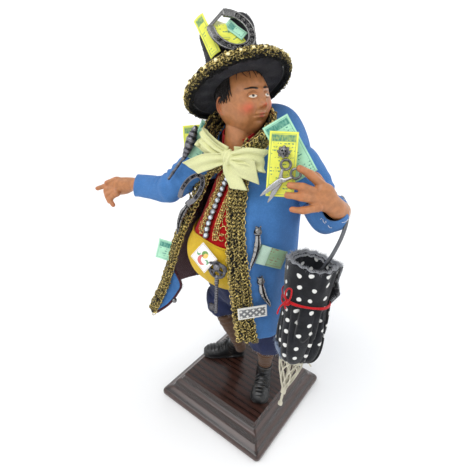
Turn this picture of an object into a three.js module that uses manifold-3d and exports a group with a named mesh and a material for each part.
// A Neapolitan lucky hunchback: a dressed figurine of painted terracotta on a moulded wooden plinth.
// Millimetres, +Z up. The figure faces -Y, its own left hand is on the +X side, and the origin is at
// the centre of the plinth's underside.
import * as THREE from "three";
import { mergeVertices } from "three/addons/utils/BufferGeometryUtils.js";
import Module from "manifold-3d";

const wasm = await Module();
wasm.setup();

// Driving dimensions.
const PLINTH_SIDE = 105;
const PLINTH_HEIGHT = 22;
const PLINTH_MOULDING = 14.5;
const GAP = 0.3;
const CLOTH = 1.4;
const PAPER = 0.5;
const BRAID = 2.4;
const HEM_HEIGHT = 100;
const WAIST_HEIGHT = 133;
const SASH_THICKNESS = 1.6;
const HEAD_HALF = { wide: 16.6, deep: 16.6, high: 22 };
const HAT_CROWN_HEIGHT = 46;
const HAT_FELT_RADIUS = 30;
const HAT_BRAID_WIDTH = 4.6;
const UMBRELLA_RADIUS = 15.6;
const WIRE_RADIUS = 1.2;
const NOTE = { wide: 16, high: 36 };

// Vectors as plain arrays.
const add = (a, b, s = 1) => a.map((x, i) => x + s * b[i]);
const sub = (a, b) => add(a, b, -1);
const mix = (a, b, t) => add(a, sub(b, a), t);
const dot = (a, b) => a[0] * b[0] + a[1] * b[1] + a[2] * b[2];
const cross = (a, b) => [
  a[1] * b[2] - a[2] * b[1],
  a[2] * b[0] - a[0] * b[2],
  a[0] * b[1] - a[1] * b[0],
];
const unit = (a) => {
  const length = Math.hypot(...a) || 1;
  return a.map((x) => x / length);
};
const radians = THREE.MathUtils.degToRad;
const smooth = (low, high, x) => THREE.MathUtils.smoothstep(x, low, high);
const turn = (i, n) => (2 * Math.PI * i) / n;
const round = (n, point) => Array.from({ length: n }, (_, i) => point(turn(i, n)));

// A value on a Catmull-Rom curve through rows of numbers; t runs from 0 to the last row's index.
function along(rows, t) {
  const last = rows.length - 1;
  const i = Math.min(last - 1, Math.max(0, Math.floor(t)));
  const f = t - i;
  const [a, b, c, d] = [i - 1, i, i + 1, i + 2].map((k) => rows[Math.min(last, Math.max(0, k))]);
  return b.map((p, k) => {
    const bend = 2 * a[k] - 5 * p + 4 * c[k] - d[k];
    return 0.5 * (2 * p + (c[k] - a[k]) * f + bend * f * f + (3 * p - a[k] - 3 * c[k] + d[k]) * f ** 3);
  });
}

// Solids. A geometry becomes a solid once its corners are shared and its faces point out.
function fromGeometry(geometry) {
  const bare = geometry.clone();
  bare.deleteAttribute("normal");
  bare.deleteAttribute("uv");
  const merged = mergeVertices(bare, 1e-4);
  const position = merged.attributes.position.array;
  const index = new Uint32Array(merged.index.array);
  const at = (i) => [position[3 * i], position[3 * i + 1], position[3 * i + 2]];
  let volume = 0;
  for (let i = 0; i < index.length; i += 3) {
    volume += dot(at(index[i]), cross(at(index[i + 1]), at(index[i + 2])));
  }
  if (volume < 0) {
    for (let i = 0; i < index.length; i += 3) {
      [index[i + 1], index[i + 2]] = [index[i + 2], index[i + 1]];
    }
  }
  return new wasm.Manifold(new wasm.Mesh({ numProp: 3, vertProperties: position, triVerts: index }));
}

function solid(points, triangles) {
  const made = new THREE.BufferGeometry();
  made.setAttribute("position", new THREE.Float32BufferAttribute(points.flat(), 3));
  made.setIndex(triangles.flat());
  return fromGeometry(made);
}

// The faces between two rings of n points that start at the indices a and b.
function band(n, a, b) {
  return Array.from({ length: n }, (_, i) => {
    const j = (i + 1) % n;
    return [[a + i, a + j, b + j], [a + i, b + j, b + i]];
  }).flat();
}

// A solid carried through rings of equal length, closed by a fan at each end.
function loft(rings) {
  const n = rings[0].length;
  const points = rings.flat();
  const triangles = rings.slice(1).flatMap((_, r) => band(n, r * n, (r + 1) * n));
  for (const [r, flip] of [[0, true], [rings.length - 1, false]]) {
    const centre = rings[r].reduce((s, p) => add(s, p, 1 / n), [0, 0, 0]);
    points.push(centre);
    for (let i = 0; i < n; i++) {
      const [a, b] = [r * n + i, r * n + ((i + 1) % n)];
      triangles.push(flip ? [points.length - 1, b, a] : [points.length - 1, a, b]);
    }
  }
  return solid(points, triangles);
}

// A closed ring: rounds of equal length, each joined to the next and the last to the first.
function ringSolid(rounds) {
  const n = rounds[0].length;
  return solid(rounds.flat(), rounds.flatMap((_, r) => band(n, r * n, ((r + 1) % rounds.length) * n)));
}

// A tube carried along a path without twist. Rows are [x, y, z, radius], or with a second radius
// for a flattened section, whose first radius starts out along the vector across.
function tube(rows, sides, steps = rows.length - 1, across = [0.31, 0.17, 0.93]) {
  const last = rows.length - 1;
  const rings = [];
  let side = across;
  for (let s = 0; s <= steps; s++) {
    const t = (s / steps) * last;
    const here = along(rows, t);
    const ahead = sub(along(rows, Math.min(last, t + 0.02)), along(rows, Math.max(0, t - 0.02)));
    const forward = unit(ahead.slice(0, 3));
    side = unit(add(side, forward, -dot(side, forward)));
    const other = cross(forward, side);
    const [wide, thick] = [here[3], here[4] ?? here[3]];
    const middle = here.slice(0, 3);
    rings.push(round(sides, (a) => add(add(middle, side, wide * Math.cos(a)), other, thick * Math.sin(a))));
  }
  return loft(rings);
}

// A sheet of even thickness over a surface given as a function of two parameters from 0 to 1.
// It fills the space from low to high above that surface, along its normal.
function sheet(surface, across, down, low, high) {
  const nudge = 0.01;
  const points = [];
  for (const height of [low, high]) {
    for (let j = 0; j <= down; j++) {
      for (let i = 0; i <= across; i++) {
        const [u, v] = [i / across, j / down];
        const alongU = sub(surface(Math.min(1, u + nudge), v), surface(Math.max(0, u - nudge), v));
        const alongV = sub(surface(u, Math.min(1, v + nudge)), surface(u, Math.max(0, v - nudge)));
        points.push(add(surface(u, v), unit(cross(alongU, alongV)), height));
      }
    }
  }
  const row = across + 1;
  const layer = row * (down + 1);
  const triangles = [];
  const quad = (a, b, c, d) => triangles.push([a, b, c], [a, c, d]);
  for (let j = 0; j < down; j++) {
    for (let i = 0; i < across; i++) {
      const a = j * row + i;
      quad(a, a + 1, a + row + 1, a + row);
      quad(a + layer, a + layer + row, a + layer + row + 1, a + layer + 1);
    }
    const [l, r] = [j * row, j * row + across];
    quad(l, l + row, l + row + layer, l + layer);
    quad(r, r + layer, r + layer + row, r + row);
  }
  for (let i = 0; i < across; i++) {
    const [t, b] = [i, down * row + i];
    quad(t, t + layer, t + layer + 1, t + 1);
    quad(b, b + 1, b + 1 + layer, b + layer);
  }
  return solid(points, triangles);
}

// A flat plate from an outline in X and Y, from low to high in Z.
function plate(outline, low, high) {
  const shape = new THREE.Shape(outline.map(([x, y]) => new THREE.Vector2(x, y)));
  const made = new THREE.ExtrudeGeometry(shape, { depth: high - low, bevelEnabled: false });
  return fromGeometry(made.translate(0, 0, low));
}

// The corners of an upright oblong about its centre.
function oblong(wide, high) {
  const [x, y] = [wide / 2, high / 2];
  return [[-x, -y], [x, -y], [x, y], [-x, y]];
}

function ball(centre, halves, wide = 8, high = 5) {
  return fromGeometry(new THREE.SphereGeometry(1, wide, high).scale(...halves).translate(...centre));
}

function torus(centre, radius, thick, sides = 4, steps = 8) {
  return fromGeometry(new THREE.TorusGeometry(radius, thick, sides, steps).translate(...centre));
}

const join = (...parts) => parts.reduce((a, b) => a.add(b));

// A frame at a point, facing out, with its up axis as near to up as that allows, turned by roll.
function frame(centre, out, up = [0, 0, 1], roll = 0) {
  const n = unit(out);
  const u = unit(add(up, n, -dot(up, n)));
  const r = cross(u, n);
  const [c, s] = [Math.cos(radians(roll)), Math.sin(radians(roll))];
  return { centre, out: n, right: add(r.map((x) => x * c), u, s), up: add(u.map((x) => x * c), r, -s) };
}

// A solid drawn in X and Y and facing +Z, moved into a frame.
function placed(part, { centre, right, up, out }) {
  return part.transform([...right, 0, ...up, 0, ...out, 0, ...centre, 1]);
}

// Plinth: a turned-over ogee, steps and a flat top, square with soft corners.
// Rows of the moulding: how far it stands in from the foot, and its height, as shares of the whole.
const MOULDING = [
  [0.08, 0], [0, 0.06], [0, 0.2], [0.08, 0.28], [0.27, 0.34], [0.46, 0.42], [0.53, 0.52],
  [0.57, 0.62], [0.66, 0.7], [0.82, 0.75], [0.88, 0.77], [0.9, 0.84], [0.96, 0.86], [1, 1],
];

function squareRing(half, corner, z) {
  return [0, 1, 2, 3].flatMap((quarter) => {
    const middle = radians(45 + 90 * quarter);
    return [-40, 0, 40].map((a) => {
      const angle = middle + radians(a);
      const inner = half - corner;
      return [
        Math.sign(Math.cos(middle)) * inner + corner * Math.cos(angle),
        Math.sign(Math.sin(middle)) * inner + corner * Math.sin(angle),
        z,
      ];
    });
  });
}

function plinth() {
  return loft(
    MOULDING.map(([inward, up]) =>
      squareRing(PLINTH_SIDE / 2 - inward * PLINTH_MOULDING, 3.2 - 2 * inward, up * PLINTH_HEIGHT),
    ),
  );
}

// Garments. A row is a section's centre, its tilt towards the back in degrees, and its reach to the
// side, to the front and to the back. The hump is the wide back reach of the tilted upper rows.
const COAT_ROWS = [
  [-3, -5, HEM_HEIGHT, 0, 42, 42, 40],
  [-3, -3, 125, 0, 39, 43, 37],
  [-3, -1, 155, 3, 36.5, 44.5, 34],
  [-3, 1, 180, 8, 34, 39.5, 32],
  [-4, 3, 200, 16, 34, 33, 36],
  [-5, 3, 216, 28, 35, 27.5, 39.5],
  [-4, -1, 227, 42, 27.5, 28, 36.5],
  [-8.5, -5.5, 233, 42, 22, 22, 25],
  [-10, -8, 236.5, 36, 17.5, 20, 20],
];
// The last row is the flat neckline, where the neck stands.
const BELLY_ROWS = [
  [-8, -4, WAIST_HEIGHT, 0, 29, 31, 27],
  [-10, -6, 146, 2, 31, 37.5, 27],
  [-11, -7, 160, 4, 30.5, 39.5, 27],
  [-10.4, -6, 171, 6.5, 28, 37, 26.4],
  [-10, -4.5, 180, 9, 26.5, 34, 26],
  [-8, -1, 196, 14, 26, 27, 30],
  [-6, 1, 212, 24, 26, 22, 32],
  [-5, -2, 223, 38, 20, 21.5, 28],
  [-10, -10.5, 229.5, 40, 13.5, 10.5, 12],
];
const BELLY_SPAN = BELLY_ROWS.length - 1;
const NECKLINE = BELLY_ROWS[BELLY_SPAN];

// A point of a section at height v (0 lowest, 1 neck) and angle a in degrees: 0 front, 90 the
// figure's left, 180 back. ease is added to its reach.
function garmentPoint(rows, a, v, ease = 0) {
  const [x, y, z, tilt, side, front, back] = along(rows, v * (rows.length - 1));
  const [s, c] = [Math.sin(radians(a)), Math.cos(radians(a))];
  const reach = (c > 0 ? front : back) + ease;
  const lean = radians(tilt);
  return [x + (side + ease) * s, y - reach * c * Math.cos(lean), z - reach * c * Math.sin(lean)];
}

function garmentRing(rows, v, ease, sides) {
  return Array.from({ length: sides }, (_, i) => garmentPoint(rows, (360 * i) / sides, v, ease));
}

const BODY_SIDES = 18;
const SASH_ROWS = 3;

function waistcoat() {
  return loft(BELLY_ROWS.map((_, r) => garmentRing(BELLY_ROWS, r / BELLY_SPAN, 0, BODY_SIDES)));
}

// The sash wraps the belly from the waist to its top edge, which dips at the figure's left.
function sash() {
  const levels = Array.from({ length: SASH_ROWS + 1 }, (_, r) => r / BELLY_SPAN);
  const skin = (ease) => levels.map((v) => garmentRing(BELLY_ROWS, v, ease, BODY_SIDES));
  const [inner, outer] = [skin(1.2 * GAP), skin(GAP + SASH_THICKNESS)];
  return ringSolid([...inner, ...outer.reverse()]);
}

// Coat. The angles of its two front edges by row, and how far the right front is thrown open.
const LEFT_EDGE = [[31.5], [26], [20.5], [11], [2], [-4], [-5], [0], [6]];
const LEFT_BRAID = [[18], [18], [18.5], [19], [19], [20], [24], [28], [28]];
const RIGHT_EDGE = [[-54], [-54], [-54], [-54], [-54], [-54], [-50], [-40], [-30]];
const RIGHT_FLARE = [[28], [21], [14.3], [11], [7], [2.7], [1], [0], [0]];
const SEAM = 96;
const FLARE_START = -140;
const SEAM_GAP = 0.9;
const PANEL_ROWS = 9;
const RIGHT_BRAID = { half: 3.8, beyond: 4.8 };
const COAT_SPAN = COAT_ROWS.length - 1;
const byHeight = (rows) => (v) => along(rows, v * COAT_SPAN)[0];
const leftEdge = byHeight(LEFT_EDGE);
const rightEdge = byHeight(RIGHT_EDGE);
const rightFlare = byHeight(RIGHT_FLARE);

function coatPoint(a, v) {
  const side = a > 180 ? a - 360 : a;
  const open = side < 0 ? smooth(FLARE_START, rightEdge(v), side) : 0;
  const outward = [Math.sin(radians(a)), -Math.cos(radians(a)), 0];
  return add(garmentPoint(COAT_ROWS, a, v), outward, rightFlare(v) * open);
}

// A panel's surface between two angles, which may change with height.
const between = (from, to) => (u, v) => coatPoint(from(v) + (to(v) - from(v)) * u, v);

const coatPanel = (from, to, across) => sheet(between(from, to), across, PANEL_ROWS, -CLOTH, 0);

// Two rows of chain braid side by side lie on the left front's edge.
function leftBraid() {
  const strip = between(leftEdge, (v) => leftEdge(v) + along(LEFT_BRAID, v * COAT_SPAN)[0]);
  const share = 1 - 1 / PANEL_ROWS;
  return sheet((u, v) => strip(u, share * v), 2, PANEL_ROWS - 1, 3 * GAP, 3 * GAP + BRAID);
}

// One row of braid is bound along the right front's edge.
function rightBraid() {
  const rows = Array.from({ length: 8 }, (_, i) => {
    const v = (0.84 * i) / 7;
    return [...coatPoint(rightEdge(v) + RIGHT_BRAID.beyond, v), RIGHT_BRAID.half, 2];
  });
  return tube(rows, 6, 11, [0.82, 0.57, 0]);
}

// The braid-covered collar stands on the neckline, lowest at the nape, and falls open a little.
function collar() {
  const lean = radians(COAT_ROWS[COAT_SPAN][3]);
  const rise = [0, -Math.sin(lean), Math.cos(lean)];
  const point = (u, v) => {
    const a = 44 + 272 * u;
    const high = 10 - 7 * smooth(60, 150, Math.min(a, 360 - a));
    return add(garmentPoint(COAT_ROWS, a, 1, 1.2 + 0.45 * high * v), rise, 1.4 + high * v);
  };
  return sheet(point, 14, 1, -1.2, 1.2);
}

// Sleeves. Rows are [x, y, z, radius] from the shoulder to the cuff, which is open.
const RIGHT_SLEEVE = [
  [-32, 2, 213, 13], [-40, -7, 209.5, 12.2], [-47.5, -17.5, 203.5, 11.5], [-56, -24.5, 193, 10.5],
  [-66, -26, 187.5, 9.8], [-80, -27.5, 186, 9], [-93, -29.3, 184.2, 8.8],
];
const LEFT_SLEEVE = [
  [18, 12, 220, 14], [25, 12.7, 214.5, 14], [34, 13.5, 205, 13], [42, 12, 195, 12],
  [48, 5, 193.5, 12], [52, -1.5, 197, 12], [56, -8.2, 202, 11.8],
];

function sleeve(rows) {
  const end = rows[rows.length - 1];
  const before = rows[rows.length - 2];
  const forward = unit(sub(end, before).slice(0, 3));
  const open = end[3] - CLOTH;
  const mouth = [-4, 2].map((s) => [...add(end.slice(0, 3), forward, s), open - 0.75 + 0.25 * s]);
  return tube(rows, 9, 8).subtract(tube(mouth, 8));
}

// Legs: painted stocking and laced shoe in one piece. heel and toe are points over the plinth.
// Rows of the shoe: share of its length, half width, height.
const SHOE_ROWS = [
  [0, 3.4, 10], [0.06, 5.2, 14], [0.22, 6, 17.5], [0.38, 6.2, 16.5], [0.52, 6.6, 12.5],
  [0.68, 7.2, 9.6], [0.84, 7, 8], [0.95, 5, 6], [1, 2.6, 3.8],
];
const SHOE_SECTION = [
  [-0.94, 0], [0.94, 0], [1, 0.4], [0.78, 0.8], [0.36, 1], [-0.36, 1], [-0.78, 0.8], [-1, 0.4],
];

function leg(knee, ankle, heel, toe) {
  const forward = unit(sub(toe, heel));
  const side = cross([0, 0, 1], forward);
  const length = Math.hypot(...sub(toe, heel));
  const shoe = loft(
    SHOE_ROWS.map(([share, half, high]) => {
      const centre = add([heel[0], heel[1], PLINTH_HEIGHT + GAP], forward, share * length);
      return SHOE_SECTION.map(([x, z]) => add(add(centre, side, x * half), [0, 0, 1], z * high));
    }),
  );
  const calf = [[0, 7.4], [0.3, 7.4], [0.72, 5.6], [1, 5.2], [1.2, 5]];
  return join(shoe, tube(calf.map(([t, r]) => [...mix(knee, ankle, t), r]), 8, 4));
}

// Breeches: a narrow seat and two full legs, gathered at the hem.
const SEAT_ROWS = [
  [-4, -3, 104, 21, 16], [-4, -3, 113, 26, 21], [-6, -4, 124, 27.5, 25.5],
  [-7, -4, WAIST_HEIGHT - 0.4, 28, 28],
];
const LEFT_THIGH = [
  [10, -5, 114, 15], [15, -5, 98, 15.5], [20, -3, 80, 14.5], [21.4, -2, 70, 14], [21.5, -2, 66, 13],
];
const RIGHT_THIGH = [
  [-15, -4, 116, 14], [-21.5, -8, 103, 13], [-21, -9, 95, 12.6], [-20, -9, 90, 12], [-19.8, -9, 86.5, 11],
];

function breeches() {
  const seat = loft(
    SEAT_ROWS.map(([x, y, z, side, front]) =>
      round(14, (a) => [x + side * Math.sin(a), y - front * Math.cos(a), z]),
    ),
  );
  return join(seat, tube(LEFT_THIGH, 10, 5), tube(RIGHT_THIGH, 10, 5));
}

// Hands: a palm and five fingers, each a row of points with its radius.
function hand(palm, fingers) {
  const finger = (points, [base, tip]) =>
    tube(points.map((p, i) => [...p, base + ((tip - base) * i) / (points.length - 1)]), 5);
  return join(tube(palm, 8, 3, [0, 0, 1]), ...fingers.map(([points, radii]) => finger(points, radii)));
}

const LEFT_PALM = [
  [60, -8, 205, 5.6, 5.2], [58, -12.5, 208.8, 6.2, 5], [55, -17.5, 213, 8.4, 4.6],
  [52.8, -20.6, 215, 8.2, 4],
];
const LEFT_FINGERS = [
  [[[53, -17.3, 219.5], [47.4, -22.4, 226], [42.4, -26.8, 229.6]], [2.9, 2.1]],
  [[[52.5, -20.9, 216.2], [46.7, -29.6, 220.6], [41, -33.4, 221.2]], [2.8, 2]],
  [[[53.5, -22.4, 212.6], [47.6, -32.2, 216], [41.6, -36.4, 216.5]], [2.7, 1.9]],
  [[[55, -22.8, 208.8], [50.6, -32.2, 208.8], [45.4, -36, 209]], [2.5, 1.7]],
  [[[53.5, -12.5, 215], [46, -11.5, 221.5], [39.6, -16.2, 225.4]], [3.2, 2.3]],
];
const RIGHT_PALM = [
  [-91, -29, 184.4, 5, 4.6], [-98, -29, 184, 5.2, 4.6], [-105, -32, 181.6, 7, 4.2],
  [-111, -35.2, 179.4, 6.6, 3.6],
];
const RIGHT_FINGERS = [
  [[[-110, -35, 181.6], [-118.5, -38.8, 179.8], [-125.4, -43.2, 176.8]], [2.8, 1.8]],
  [[[-110, -36.4, 179], [-117, -40.6, 177], [-114.6, -42.4, 172.4]], [2.7, 2]],
  [[[-109, -37.6, 177.5], [-114.5, -42, 174], [-111, -43.4, 169.6]], [2.6, 1.9]],
  [[[-107, -38.4, 176.4], [-110.5, -42.6, 172], [-106.3, -43.7, 168.2]], [2.5, 1.8]],
  [[[-104, -31, 184.6], [-111.5, -34.2, 185.4], [-117.6, -39.4, 182.6]], [2.8, 2]],
];

// The hat's frame stands at its mouth: out runs up the crown, and up points to the hat's front.
const HAT_AXIS = unit([-0.622, 0.237, 0.747]);
const HAT = frame([-13.6, -6.8, 258], HAT_AXIS, [0.574, -0.819, 0]);
const MOUTH_HEIGHT = 6;

// Head: an egg with a calm, even face, ears and a neck, looking over the figure's left shoulder.
const HEAD_CENTRE = [-11.2, -7.7, 255.1];
const HEAD_FACES = [0.93, -0.2, 0.28];
const NECK_ROWS = [
  [-9.2, -15.5, 224, 9.4], [-9.6, -14, 232, 8.6], [-10.8, -11.5, 240, 8.8], [-11.4, -9, 246, 9.4],
];

// Raised and hollow places of the face: where they lie across and up, their sizes, as shares of
// the head, and how far they stand out in millimetres.
const FACE = [
  { x: 0, z: 0.02, wide: 0.12, high: 0.2, out: 2.2 },
  { x: 0, z: -0.13, wide: 0.17, high: 0.1, out: 2.6 },
  { x: 0.36, z: 0.1, wide: 0.2, high: 0.1, out: -1.4, both: true },
  { x: 0.34, z: 0.26, wide: 0.3, high: 0.08, out: 1, both: true },
  { x: 0, z: -0.4, wide: 0.24, high: 0.07, out: 1.2 },
  { x: 0, z: -0.54, wide: 0.24, high: 0.05, out: -0.5 },
  { x: 0, z: -0.72, wide: 0.28, high: 0.14, out: 2.2 },
  { x: 0.56, z: -0.22, wide: 0.26, high: 0.2, out: 1.1, both: true },
];

function faceRelief(right, up) {
  const bump = (x, f) => Math.exp(-(((x - f.x) / f.wide) ** 2) - ((up - f.z) / f.high) ** 2);
  return FACE.reduce((s, f) => s + f.out * (bump(right, f) + (f.both ? bump(-right, f) : 0)), 0);
}

function headPoint(around, rise) {
  const { wide, deep, high } = HEAD_HALF;
  const level = Math.cos(rise);
  const [right, up, out] = [level * Math.sin(around), Math.sin(rise), level * Math.cos(around)];
  const narrow = 1 - 0.2 * smooth(0.1, 1, -up);
  const relief = out > 0 ? faceRelief(right, up) * smooth(0, 0.5, out) : 0;
  return [right * wide * narrow, up * high, out * deep * narrow + relief];
}

// The head ends flat just under the hat, and its neck stands on the waistcoat.
function head() {
  const facing = frame(HEAD_CENTRE, HEAD_FACES);
  const rows = 11;
  const rings = Array.from({ length: rows - 1 }, (_, j) =>
    round(16, (around) => headPoint(around, Math.PI * ((j + 1) / rows - 0.5))),
  );
  const ears = [-1, 1].map((s) => ball([s * 15.7, -1.5, -2.5], [2, 4.8, 3.2], 6, 3));
  const neck = tube(NECK_ROWS, 10, 3);
  const skull = placed(join(loft(rings), ...ears), facing);
  const [x, y, z, tilt] = NECKLINE;
  const lean = [0, -Math.sin(radians(tilt)), Math.cos(radians(tilt))];
  return join(skull, neck)
    .trimByPlane(lean, dot(lean, [x, y, z]) + GAP)
    .trimByPlane(HAT_AXIS.map((k) => -k), GAP - MOUTH_HEIGHT - dot(HAT_AXIS, HAT.centre));
}

// Hat: a felt crown with a pinched top and a flat brim, set well back on the head. Rows are a radius
// and a height, from the top of the hollow down its wall, round the brim and up the crown.
const HAT_ROWS = [
  [8, 33], [15.2, 32], [15.4, MOUTH_HEIGHT], [23, MOUTH_HEIGHT], [HAT_FELT_RADIUS, MOUTH_HEIGHT],
  [HAT_FELT_RADIUS, MOUTH_HEIGHT + CLOTH], [23, MOUTH_HEIGHT + CLOTH], [17, MOUTH_HEIGHT + CLOTH],
  [16.4, 16], [17, 32], [17.8, HAT_CROWN_HEIGHT - 2], [16.6, HAT_CROWN_HEIGHT], [9, HAT_CROWN_HEIGHT],
];
const CREASE = { at: -0.5, wide: 7.5, deep: 9 };
const hatRing = (r, height) => round(18, (a) => [r * Math.cos(a), r * Math.sin(a), height]);

// The crown leans a little to one side of the brim, and a crease pinches its top from front to back.
function hatPoint([x, y, z]) {
  const up = smooth(MOUTH_HEIGHT + 2, MOUTH_HEIGHT + 10, z);
  const top = smooth(HAT_CROWN_HEIGHT - 14, HAT_CROWN_HEIGHT - 2, z);
  return [x - 1.4 * up, y, z - CREASE.deep * top * Math.exp(-(((x - CREASE.at) / CREASE.wide) ** 2))];
}

function hat() {
  return placed(loft(HAT_ROWS.map(([r, h]) => hatRing(r, h).map(hatPoint))), HAT);
}

function hatBraid() {
  const [r, h] = [HAT_FELT_RADIUS + GAP + 0.1, MOUTH_HEIGHT];
  const rounds = [[0, -1.4], [0.6, -1.2], [1, 2], [0.6, 4.6], [0, 3.6]];
  return placed(ringSolid(rounds.map(([x, z]) => hatRing(r + x * HAT_BRAID_WIDTH, h + z))), HAT);
}

// Lucky charms and slips of paper, drawn upright in X and Y and facing +Z.
function paper(wide, high, bend = 0) {
  return sheet((u, v) => [(u - 0.5) * wide, (v - 0.5) * high, -bend * (2 * u - 1) ** 2], 3, 1, 0, PAPER);
}

function horn(length, side = 1) {
  const bend = [
    [0, 0.5, 1.2], [0, 0.44, 2.6], [0, 0.37, 2.6], [-0.2, 0.3, 1.7], [-0.5, 0.12, 2.3], [0.4, -0.14, 1.9],
    [2.4, -0.38, 1.2], [3, -0.5, 0.6],
  ];
  return tube(bend.map(([x, y, r]) => [side * x, y * length, 1.3, r, 0.6 * r]), 6, 8, [1, 0, 0]);
}

function horseshoe(wide, high, thick) {
  const rows = Array.from({ length: 9 }, (_, i) => {
    const a = radians(-230 + 35 * i);
    return [(wide / 2) * Math.cos(a), (high / 2) * Math.sin(a), thick * 0.7, thick, 0.6 * thick];
  });
  return tube(rows, 6, 10, [-0.6, 0.8, 0]);
}

function key(length) {
  const shaft = tube([[0, length / 2 - 12, 1.3, 1.2], [0, -length / 2, 1.3, 1.1]], 6);
  const bit = plate(
    [[0.4, 0], [-4.6, 0], [-4.6, 2], [-3, 2], [-3, 3.4], [-4.6, 3.4], [-4.6, 5.4], [0.4, 5.4]], 0.6, 2,
  );
  const bow = torus([0, length / 2 - 7, 1.3], 5.6, 1.2);
  return join(bow, shaft, bit.translate([0, -length / 2 + 0.6, 0]));
}

function scissors(length) {
  const bend = [[2.4, 0.24, 1], [0, 0, 1.4], [-1.8, -0.25, 1.3], [-2.8, -0.5, 0.5]];
  const half = (side) =>
    join(
      tube(bend.map(([x, y, r]) => [side * x, y * length, 1, r]), 4),
      torus([side * 3.4, 0.33 * length, 1], 2.6, 0.9),
    );
  return join(half(1), half(-1));
}

function bar(from, to, radius, sides = 6) {
  return tube([[...from, radius], [...to, radius]], sides);
}

// A charm that lies flat on a garment, lift above it and turned by roll.
function onGarment(point, a, v, lift, roll = 0) {
  const here = point(a, v);
  const out = cross(sub(point(a + 2, v), here), sub(point(a, v + 0.02), here));
  const made = frame(here, out, [0, 0, 1], roll);
  return { ...made, centre: add(here, made.out, lift) };
}
const onCoat = (a, v, lift, roll) => onGarment(coatPoint, a, v, lift, roll);
const bellyPoint = (a, v) => garmentPoint(BELLY_ROWS, a, v);
const onBelly = (a, v, lift, roll) => onGarment(bellyPoint, a, v, lift, roll);

// Bow: a knot, two folded loops, two ends and a tail of one felt ribbon.
const KNOT = [-4.2, -29.6, 226];

function bow() {
  const ribbon = (path, wide, thick, across) => tube(path.map((p) => [...p, wide, thick]), 6, 3, across);
  return join(
    ball(KNOT, [4.6, 3.6, 4.6], 7, 4),
    ribbon([KNOT, [-14, -29, 227.6], [-25.5, -28.4, 233.6]], 5, 1.8, [0.2, 0, 1]),
    ribbon([KNOT, [-18, -34.8, 221], [-31.5, -38, 217]], 5.4, 1.1, [0.2, 0.3, 1]),
    ribbon([KNOT, [5, -27.4, 228.2], [14.5, -23.6, 227.6]], 6, 2.2, [0, 0, 1]),
    ribbon([KNOT, [5.5, -29, 221.6], [14.5, -27.5, 216.4]], 5.6, 1.1, [0.4, 0, 1]),
    ribbon([KNOT, [-0.5, -30, 217.6], [4, -29.4, 208.6]], 5, 1, [1, 0.2, 0.2]),
  );
}

// Waistcoat fastening: a row of mounted stones between two chains, from the bow to the sash.
// The path is an angle and a height on the waistcoat.
const STONES = { count: 13, size: 1.9, path: [[-20, 0.927], [-15.7, 0.64], [-4.2, 0.475]] };

function stonePlace(s, shift = 0) {
  const [a, v] = along(STONES.path, 2 * s);
  return [a + shift, v];
}

// Each stone is a swelling of the chain.
function stoneChain() {
  const rows = Array.from({ length: 2 * STONES.count + 1 }, (_, i) => {
    const place = onBelly(...stonePlace(i / (2 * STONES.count)), 2.4);
    return [...place.centre, i % 2 ? STONES.size : 1, i % 2 ? 1.7 : 0.9];
  });
  return tube(rows, 4, rows.length - 1, [1, -0.3, 0]);
}

function vestChain(shift) {
  const centres = [0, 0.25, 0.5, 0.75, 1].map((s) => onBelly(...stonePlace(s, shift), 1.7).centre);
  const rows = centres.map((centre) => [...centre, 2, 0.9]);
  return tube(rows, 6, 6, [1, -0.3, 0]);
}

// Umbrella, hanging furled and point down from the left forearm.
const UMBRELLA_MOUTH = [55.7, -18.4, 171];
const UMBRELLA_FOOT = [57.5, -31, 101];
const UMBRELLA_TIP = [54.2, -31.4, 50.2];
const CANOPY_SIDES = 14;
const CANOPY_ROWS = [
  [0, 1.1], [0.06, 1.07], [0.2, 1.03], [0.34, 0.98], [0.5, 0.98], [0.7, 1], [0.85, 0.92],
  [0.95, 0.74], [1, 0.52],
];

function umbrellaRing(share, radius, lift = 0) {
  const spread = sub(UMBRELLA_FOOT, UMBRELLA_MOUTH);
  const axis = unit(spread);
  const across = unit(cross(axis, [0.4, 1, 0]));
  const other = cross(axis, across);
  const centre = add(UMBRELLA_MOUTH, spread, share);
  return round(CANOPY_SIDES, (a) => {
    const fold = 1 + 0.06 * Math.cos(4 * a + 2.2 * share) * smooth(0.1, 0.4, share);
    const r = radius * fold + lift;
    return add(add(centre, across, r * Math.cos(a)), other, r * Math.sin(a));
  });
}

// The string's upper and lower edge, as shares of the way down the canopy.
const STRING_SHARES = [0.33, 0.352];

function canopy() {
  const skin = loft(CANOPY_ROWS.map(([share, r]) => umbrellaRing(share, r * UMBRELLA_RADIUS)));
  const mouth = [[-0.1, 0.92], [0.05, 0.9], [0.18, 0.74]];
  return skin.subtract(loft(mouth.map(([share, r]) => umbrellaRing(share, r * UMBRELLA_RADIUS))));
}

function umbrellaString() {
  const row = (share, lift) => umbrellaRing(share, UMBRELLA_RADIUS * 0.98, lift);
  const [high, low] = STRING_SHARES;
  return ringSolid([row(high, GAP + 0.3), row(high, 1.7), row(low, 1.7), row(low, GAP + 0.3)]);
}

const HANDLE_ROWS = [
  [59, -17, 160], [62, -15.5, 168], [65, -12.5, 177], [66.8, -7.8, 188], [66.4, -3.4, 197],
  [63.6, 1.2, 202.6], [58.2, 8, 204.6], [53.8, 15.4, 203], [51, 21.5, 197.5],
];

function umbrellaNet() {
  const cone = [[0.03, 7.8], [0.2, 7.2], [0.45, 4.2], [0.6, 1.8], [0.68, 1], [1, 1]];
  return tube(cone.map(([share, r]) => [...mix(UMBRELLA_FOOT, UMBRELLA_TIP, share), r]), 8, 7);
}

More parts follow.
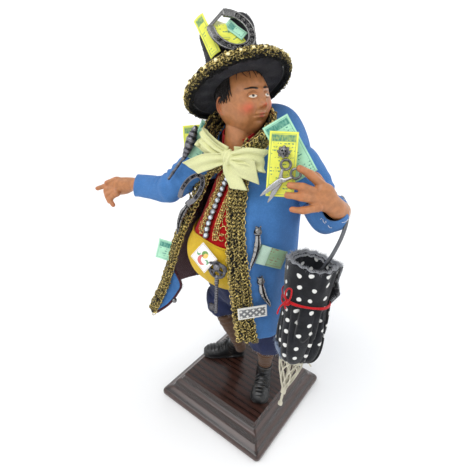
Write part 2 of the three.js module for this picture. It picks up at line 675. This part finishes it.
// Every corner pushed out along its normal, so that a neighbour cut by the result keeps a gap.
function grown(part, distance) {
  const mesh = part.getMesh();
  const points = Array.from({ length: mesh.numVert }, (_, i) => [
    ...mesh.vertProperties.slice(i * mesh.numProp, i * mesh.numProp + 3),
  ]);
  const sums = points.map(() => [0, 0, 0]);
  const faces = [];
  for (let i = 0; i < mesh.triVerts.length; i += 3) {
    const corners = [...mesh.triVerts.slice(i, i + 3)];
    const ends = corners.map((k) => points[k]);
    const normal = unit(cross(sub(ends[1], ends[0]), sub(ends[2], ends[0])));
    faces.push([corners, normal]);
    corners.forEach((k, m) => {
      const [p, q, r] = [0, 1, 2].map((step) => ends[(m + step) % 3]);
      const angle = Math.acos(THREE.MathUtils.clamp(dot(unit(sub(q, p)), unit(sub(r, p))), -1, 1));
      sums[k] = add(sums[k], normal, angle);
    });
  }
  const normals = sums.map(unit);
  const least = normals.map(() => 1);
  for (const [corners, normal] of faces) {
    for (const k of corners) least[k] = Math.min(least[k], dot(normal, normals[k]));
  }
  const moved = points.map((p, k) => add(p, normals[k], distance / Math.max(0.45, least[k])));
  const vertProperties = new Float32Array(moved.flat());
  return new wasm.Manifold(new wasm.Mesh({ numProp: 3, vertProperties, triVerts: mesh.triVerts }));
}

// Each piece is cut back where it meets the pieces before it, and keeps its largest body.
function fitted(pieces) {
  const done = [];
  for (const { name, paint, shape } of pieces) {
    let cut = shape;
    for (const other of done) {
      if (cut.minGap(other.shape, GAP) < GAP * 0.6) cut = cut.subtract(grown(other.shape, GAP));
    }
    const [largest] = cut.decompose().sort((a, b) => b.volume() - a.volume());
    if (!largest) throw new Error(name + " is swallowed by its neighbours");
    done.push({ name, paint, shape: largest });
  }
  return done;
}

// Colour, roughness and metalness of each finish.
const PAINT = {
  wood: [0x2b1b17, 0.35, 0],
  skin: [0xc68a63, 0.45, 0],
  stocking: [0x5f4330, 0.7, 0],
  navy: [0x23284f, 0.9, 0],
  red: [0xa3141b, 0.85, 0],
  ochre: [0xe0a416, 0.8, 0],
  blue: [0x3f6fb5, 0.9, 0],
  braid: [0xa58d3c, 0.4, 0.6],
  felt: [0x17181b, 0.95, 0],
  ribbon: [0xe8eba0, 0.85, 0],
  pewter: [0x8b8d8f, 0.3, 1],
  bronze: [0x5b5238, 0.45, 0.9],
  yellow_paper: [0xe6ee4b, 0.8, 0],
  green_paper: [0x8fd0b0, 0.8, 0],
  card: [0xf2f1ea, 0.5, 0],
  dots: [0x26272a, 0.9, 0],
  string: [0xc4121c, 0.8, 0],
  net: [0xcbc7b4, 0.8, 0],
  stone: [0xdfe6ee, 0.1, 0.4],
};

// The way most of the loose charms and papers face, out from the figure's front.
const DISPLAYED = [0.46, -0.84, 0.3];
const held = (centre, roll) => frame(centre, DISPLAYED, [0, 0, 1], roll);
const onHat = (around, height, lift, roll) => {
  const [c, s] = [Math.cos(radians(around)), Math.sin(radians(around))];
  const turned = (x, y, z) => add(add(HAT.right.map((k) => k * x), HAT.up, y), HAT.out, z);
  const out = turned(c, s, 0);
  return frame(add(add(HAT.centre, out, 18.6 + lift), HAT.out, height), out, HAT.out, roll);
};

const pieces = [];
const piece = (name, paint, shape) => pieces.push({ name, paint, shape });

piece("plinth", "wood", plinth());
piece("leg_left", "stocking", leg([21.5, -2, 65.6], [21.5, -1, 44], [17, 9, 0], [30.5, -22, 0]));
piece("leg_right", "stocking", leg([-19.4, -8, 85.6], [-12, 6, 44], [-12, 17, 0], [-42, -7, 0]));
piece("breeches", "navy", breeches());
piece("waistcoat", "red", waistcoat());
piece("sash", "ochre", sash());
piece("hat", "felt", hat());
piece("head", "skin", head());
piece("coat_back", "blue", coatPanel(() => SEAM + SEAM_GAP, () => 360 - SEAM - SEAM_GAP, 10));
piece("coat_front_left", "blue", coatPanel(leftEdge, () => SEAM, 6));
piece("coat_front_right", "blue", coatPanel(() => -SEAM, rightEdge, 6));
piece("collar", "braid", collar());
piece("braid_front_left", "braid", leftBraid());
piece("braid_front_right", "braid", rightBraid());
piece("hand_right", "skin", hand(RIGHT_PALM, RIGHT_FINGERS));
piece("hand_left", "skin", hand(LEFT_PALM, LEFT_FINGERS));
piece("sleeve_right", "blue", sleeve(RIGHT_SLEEVE));
piece("sleeve_left", "blue", sleeve(LEFT_SLEEVE));
piece("hat_braid", "braid", hatBraid());
const barredHorseshoe = join(horseshoe(20, 26, 2.2), bar([-7, 11, 1.6], [7, 11, 1.6], 1));
piece("hat_horseshoe", "pewter", placed(barredHorseshoe, onHat(113, 29, 2.2, 36)));
piece("hat_note_left", "yellow_paper", placed(paper(7.4, 27, 0.6), onHat(74, 34, 1.2, 5)));
piece("hat_note_middle", "yellow_paper", placed(paper(14, 14, 0.8), onHat(112, 28, 0.5, 20)));
piece("bow_tie", "ribbon", bow());
piece("stone_chain", "stone", stoneChain());
piece("chain_left", "braid", vestChain(14));
piece("chain_right", "braid", vestChain(-12));
piece("umbrella_canopy", "dots", canopy());
piece("umbrella_string", "string", umbrellaString());
piece("umbrella_handle", "pewter", tube(HANDLE_ROWS.map((p) => [...p, WIRE_RADIUS]), 5, 11));
piece("umbrella_net", "net", umbrellaNet());
piece("sash_card", "card", placed(plate(oblong(14, 15), 0, PAPER), onBelly(5.6, 0.292, 3, 58)));
piece("sash_key", "bronze", placed(key(42), frame([2.6, -45.6, 142], [0.2, -1, 0])));
piece("coat_horn_upper", "pewter", placed(horn(27, -1), onCoat(40.6, 0.352, 0.6, -8)));
piece("coat_horn_lower", "pewter", placed(horn(26), onCoat(53.2, 0.187, 0.6, 14)));
piece("coat_note", "green_paper", placed(paper(20, 13, 1), onCoat(60, 0.303, 1.6, 0)));
piece("coat_tile", "net", placed(plate(oblong(20, 9), 0, 1.2), onCoat(43, 0.136, BRAID + 1.6, 6)));
const note = paper(NOTE.wide, NOTE.high);
piece("hand_note_yellow", "yellow_paper", placed(note, held([31.7, -28, 229.3], 2)));
piece("hand_note_green", "green_paper", placed(note, held([30.8, -19.5, 238.4], 32)));
piece("hand_scissors", "pewter", placed(scissors(26), held([33.9, -31.9, 221.6], -36)));
piece("hand_charm", "pewter", placed(ball([0, 0, 1.6], [3.6, 3.4, 1.6]), held([31.5, -27.2, 236.6], 0)));
piece("shoulder_note_yellow", "yellow_paper", placed(paper(14, 15, 0.6), held([-50, -12, 227.6], 8)));
piece("shoulder_note_green", "green_paper", placed(paper(9, 27, 0.8), held([-39, -17, 227.2], -20)));
const drop = [[-40.5, -20, 236, 2], [-42, -22, 229, 3.4], [-43.5, -25, 221, 2.6], [-44.5, -27.5, 216, 1.2]];
const pin = bar([-44, -26.6, 218], [-50.5, -36, 202.5], 1.2, 5);
piece("shoulder_charm", "bronze", join(tube(drop, 6, 4), pin));
piece("elbow_horseshoe", "bronze", placed(horseshoe(11, 22, 1.5), held([-29.8, -35.4, 199.8], 150)));
piece("elbow_horn", "pewter", placed(horn(25), held([-38, -36.5, 178], -26)));
piece("hem_note", "green_paper", placed(paper(13, 15, 0.5), held([-50.5, -42, 148], -10)));
piece("hem_bead", "pewter", ball(add(coatPoint(-73, 0), [0.6, 0, -2.6 - GAP]), [2.6, 2.6, 2.6]));

const group = new THREE.Group();
for (const { name, paint, shape } of fitted(pieces)) {
  const mesh = shape.getMesh();
  const geometry = new THREE.BufferGeometry();
  geometry.setAttribute("position", new THREE.BufferAttribute(mesh.vertProperties, 3));
  geometry.setIndex(new THREE.BufferAttribute(mesh.triVerts, 1));
  const [color, roughness, metalness] = PAINT[paint];
  const made = new THREE.Mesh(geometry, new THREE.MeshStandardMaterial({ color, roughness, metalness }));
  made.name = name;
  group.add(made);
}

export default group;
